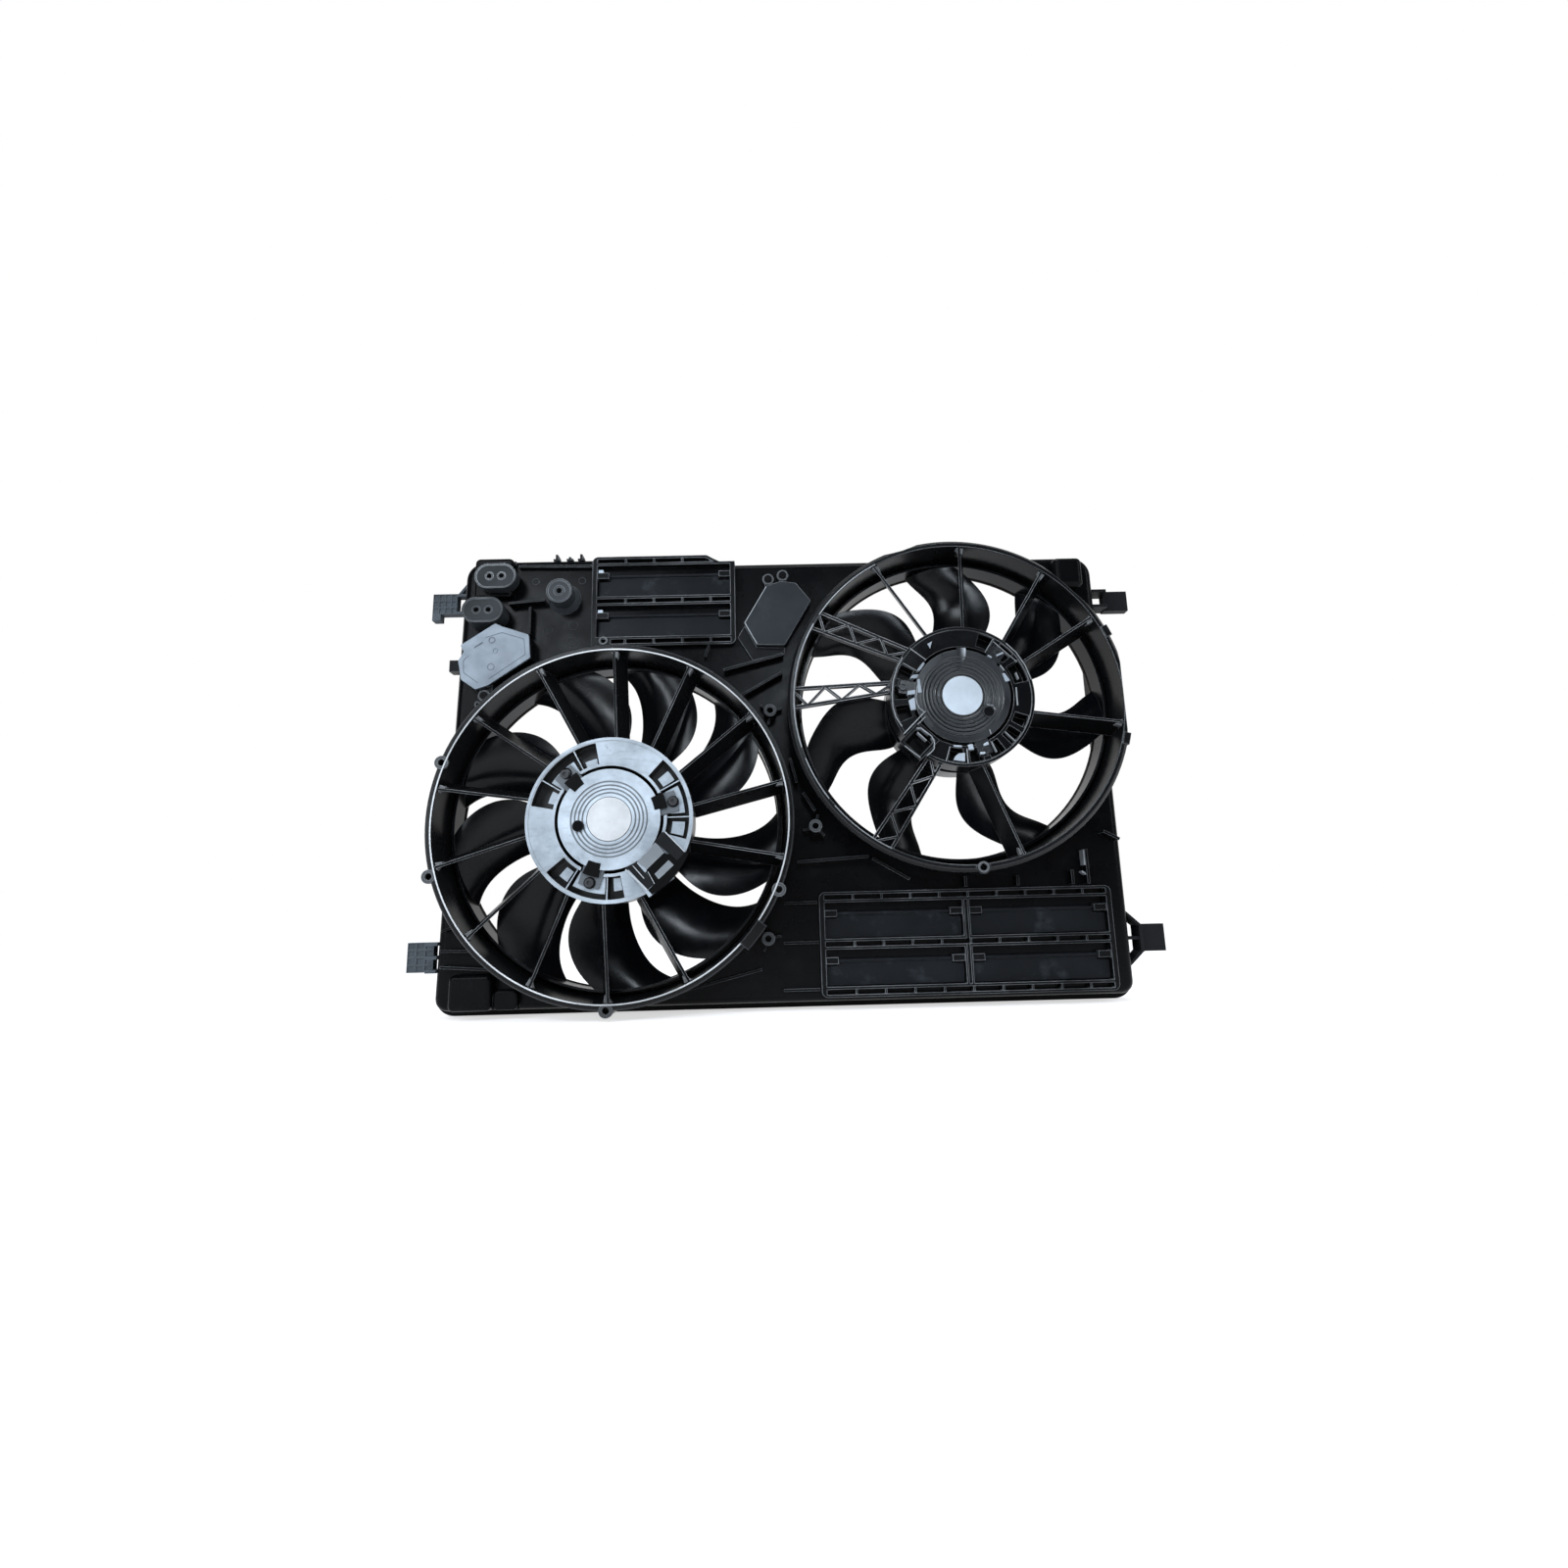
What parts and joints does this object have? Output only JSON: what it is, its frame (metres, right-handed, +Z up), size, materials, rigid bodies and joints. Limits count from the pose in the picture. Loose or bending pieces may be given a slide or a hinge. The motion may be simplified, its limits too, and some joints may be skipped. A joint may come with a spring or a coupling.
{
  "type": "radiator fan",
  "caption": "Twin electric radiator fan: one moulded shroud with offset ducts, brushed motors on vanes and hinged ram air flaps",
  "frame": {"origin": "middle of the bottom seal lip, on the rear face that meets the radiator", "axes": "+X to the right as seen from the engine, +Y towards the radiator, +Z up"},
  "size_m": [0.7535, 0.099, 0.4835],
  "materials": {
    "shroud_plastic": "satin",
    "fan_plastic": "satin",
    "flap_plastic": "matte",
    "black_metal": "satin",
    "bare_metal": "satin",
    "steel": "satin",
    "ferrite": "matte",
    "copper": "satin",
    "carbon": "matte"
  },
  "bodies": {
    "shroud": {"shroud_rim": "shroud_plastic", "shroud_face": "shroud_plastic", "corner_blocks": "shroud_plastic", "face_ribs": "shroud_plastic", "edge_clips": "shroud_plastic", "left_barrel": "shroud_plastic", "right_barrel": "shroud_plastic", "left_vanes": "shroud_plastic", "right_vanes": "shroud_plastic", "right_lattice_struts": "shroud_plastic", "left_motor_mount": "shroud_plastic", "right_motor_mount": "shroud_plastic", "top_flap_frame": "shroud_plastic", "bottom_flap_frame": "shroud_plastic", "upper_left_tab": "shroud_plastic", "lower_left_tab": "shroud_plastic", "upper_right_tab": "shroud_plastic", "lower_right_tab": "shroud_plastic", "oval_bosses": "shroud_plastic", "round_boss": "shroud_plastic", "harness_posts": "shroud_plastic", "left_module_case": "black_metal", "right_module_case": "shroud_plastic", "left_module_lid": "bare_metal", "right_module_lid": "black_metal", "left_module_connector": "shroud_plastic", "module_screws": "steel", "end_plate_plugs": "black_metal", "left_motor_can": "black_metal", "left_motor_end_plate": "bare_metal", "left_motor_bearings": "steel", "left_motor_magnets": "ferrite", "left_motor_brush_card": "shroud_plastic", "left_motor_brushes": "carbon", "left_motor_screws": "steel", "right_motor_can": "black_metal", "right_motor_end_plate": "black_metal", "right_motor_bearings": "steel", "right_motor_magnets": "ferrite", "right_motor_brush_card": "shroud_plastic", "right_motor_brushes": "carbon", "right_motor_screws": "steel"},
    "left_fan": {"left_fan_impeller": "fan_plastic", "left_motor_shaft": "steel", "left_motor_armature_core": "steel", "left_motor_windings": "copper", "left_motor_commutator": "copper", "left_fan_nut": "steel"},
    "right_fan": {"right_fan_impeller": "fan_plastic", "right_motor_shaft": "steel", "right_motor_armature_core": "steel", "right_motor_windings": "copper", "right_motor_commutator": "copper", "right_fan_nut": "steel"},
    "top_flap_lower": {"top_flap_lower": "flap_plastic"},
    "top_flap_upper": {"top_flap_upper": "flap_plastic"},
    "bottom_left_flap_lower": {"bottom_left_flap_lower": "flap_plastic"},
    "bottom_left_flap_upper": {"bottom_left_flap_upper": "flap_plastic"},
    "bottom_right_flap_lower": {"bottom_right_flap_lower": "flap_plastic"},
    "bottom_right_flap_upper": {"bottom_right_flap_upper": "flap_plastic"}
  },
  "joints": [
    {"name": "left_fan_spin", "type": "hinge", "parent": "shroud", "child": "left_fan", "pos_m": [-0.163, -0.045, 0.179], "axis": [0, -1, 0], "continuous": true},
    {"name": "right_fan_spin", "type": "hinge", "parent": "shroud", "child": "right_fan", "pos_m": [0.1735, -0.045, 0.2885], "axis": [0, -1, 0], "continuous": true},
    {"name": "top_flap_lower_hinge", "type": "hinge", "parent": "shroud", "child": "top_flap_lower", "pos_m": [-0.119, -0.0454, 0.3975], "axis": [-1, 0, 0], "range_deg": [0, 70]},
    {"name": "top_flap_upper_hinge", "type": "hinge", "parent": "shroud", "child": "top_flap_upper", "pos_m": [-0.119, -0.0454, 0.442], "axis": [-1, 0, 0], "range_deg": [0, 70]},
    {"name": "bottom_left_flap_lower_hinge", "type": "hinge", "parent": "shroud", "child": "bottom_left_flap_lower", "pos_m": [0.10425, -0.0454, 0.0425], "axis": [-1, 0, 0], "range_deg": [0, 70]},
    {"name": "bottom_left_flap_upper_hinge", "type": "hinge", "parent": "shroud", "child": "bottom_left_flap_upper", "pos_m": [0.10425, -0.0454, 0.087], "axis": [-1, 0, 0], "range_deg": [0, 70]},
    {"name": "bottom_right_flap_lower_hinge", "type": "hinge", "parent": "shroud", "child": "bottom_right_flap_lower", "pos_m": [0.24475, -0.0454, 0.0425], "axis": [-1, 0, 0], "range_deg": [0, 70]},
    {"name": "bottom_right_flap_upper_hinge", "type": "hinge", "parent": "shroud", "child": "bottom_right_flap_upper", "pos_m": [0.24475, -0.0454, 0.087], "axis": [-1, 0, 0], "range_deg": [0, 70]}
  ]
}
